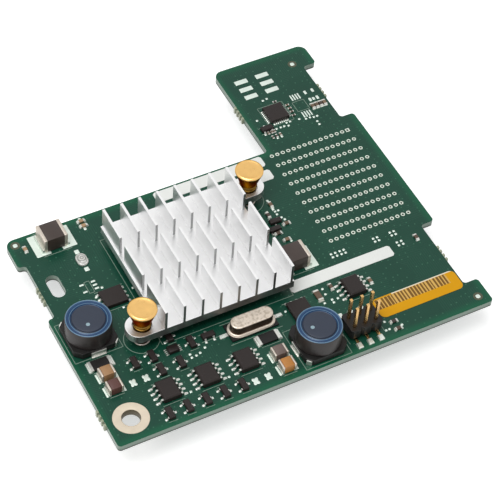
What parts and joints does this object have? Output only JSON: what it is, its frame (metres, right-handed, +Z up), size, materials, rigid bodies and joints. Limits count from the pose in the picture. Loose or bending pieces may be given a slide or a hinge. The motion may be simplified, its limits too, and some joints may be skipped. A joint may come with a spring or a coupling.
{
  "type": "ethernet adapter card",
  "caption": "L-shaped green network adapter card with a finned heatsink held by two brass push pins, blue-ringed inductors and a mezzanine connector field",
  "frame": {"origin": "on the axis of the plated mounting hole near the front left corner, on the underside of the board", "axes": "+X right along the front edge, +Y towards the back edge and the tab, +Z up out of the component side"},
  "size_m": [0.0884, 0.0854, 0.0209],
  "materials": {
    "solder_mask": "green solder mask over woven glass laminate",
    "tin_plating": "bright tin",
    "land_copper": "tinned copper",
    "connector_plastic": "black moulded plastic",
    "contact_metal": "gold plated",
    "chip_laminate": "green laminate",
    "lid_metal": "nickel plated",
    "pad_rubber": "soft thermal pad",
    "sink_aluminium": "clear anodised, matt",
    "pin_brass": "turned brass",
    "spring_steel": "plain steel wire",
    "dark_plastic": "black moulded plastic",
    "ferrite": "dark sintered ferrite",
    "drum_ferrite": "dark grey ferrite",
    "blue_epoxy": "cast blue epoxy",
    "terminal_tin": "tin plated",
    "chip_plastic": "black moulded epoxy",
    "can_metal": "nickel plated can",
    "fired_ceramic": "tan fired ceramic",
    "block_plastic": "dark fired ceramic",
    "lens_plastic": "pale lens",
    "post_gold": "gold plated posts",
    "small_ceramic": "fired ceramic",
    "pad_solder": "levelled solder",
    "white_paper": "white paper label",
    "gold_paper": "gold film label"
  },
  "bodies": {
    "root": {"circuit_board": "solder_mask", "hole_plating": "tin_plating", "connector_lands": "land_copper", "connector_housing": "connector_plastic", "connector_contact_rows": "contact_metal", "chip_substrate": "chip_laminate", "chip_lid": "lid_metal", "thermal_pad": "pad_rubber", "heatsink": "sink_aluminium", "push_pins": "pin_brass", "pin_springs": "spring_steel", "inductor_bases": "dark_plastic", "inductor_shields": "ferrite", "inductor_drums": "drum_ferrite", "inductor_epoxy_rings": "blue_epoxy", "inductor_terminals": "terminal_tin", "soic_bodies": "chip_plastic", "soic_leads": "terminal_tin", "sot_bodies": "chip_plastic", "sot_leads": "terminal_tin", "power_chip_bodies": "chip_plastic", "power_chip_leads": "terminal_tin", "quad_chip_body": "chip_plastic", "quad_chip_leads": "terminal_tin", "crystal_can": "can_metal", "crystal_base": "dark_plastic", "crystal_leads": "terminal_tin", "ceramic_capacitor_bodies": "fired_ceramic", "ceramic_capacitor_caps": "terminal_tin", "sense_resistor_bodies": "dark_plastic", "sense_resistor_ends": "terminal_tin", "block_capacitor_bodies": "block_plastic", "block_capacitor_clips": "terminal_tin", "indicator_lens": "lens_plastic", "header_body": "dark_plastic", "header_posts": "post_gold", "small_part_bodies": "small_ceramic", "small_part_ends": "terminal_tin", "solder_pads": "pad_solder", "alignment_marks": "pad_solder", "white_labels": "white_paper", "gold_label": "gold_paper"}
  },
  "joints": []
}
